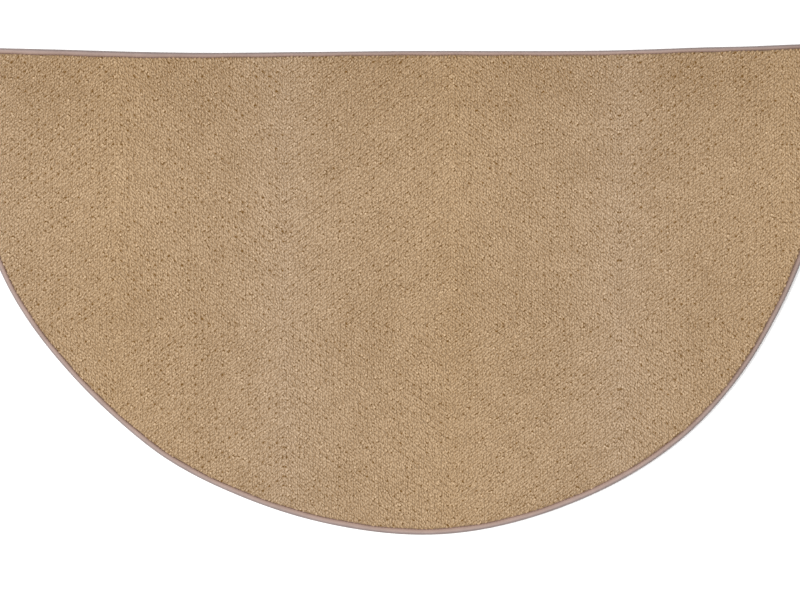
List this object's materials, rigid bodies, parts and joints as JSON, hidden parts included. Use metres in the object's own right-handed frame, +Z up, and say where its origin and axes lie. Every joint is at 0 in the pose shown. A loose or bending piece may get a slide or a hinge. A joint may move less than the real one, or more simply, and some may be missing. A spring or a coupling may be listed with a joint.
{
  "type": "half round hearth rug",
  "caption": "Half round loop pile rug with one straight edge for the hearth and a tape folded round its whole edge; it lies flat on the floor.",
  "frame": {"origin": "on the floor under the middle of the rug's width and depth", "axes": "+X along the straight edge, towards the right end as seen from above with the arc nearest; +Y from the arc towards the straight hearth edge; +Z up out of the pile"},
  "size_m": [1.2198, 0.69, 0.008],
  "materials": {
    "carpet": "low tan loop pile, matt",
    "binding": "mauve taupe woven tape, matt"
  },
  "bodies": {
    "root": {"carpet": "carpet", "binding": "binding"}
  },
  "joints": []
}
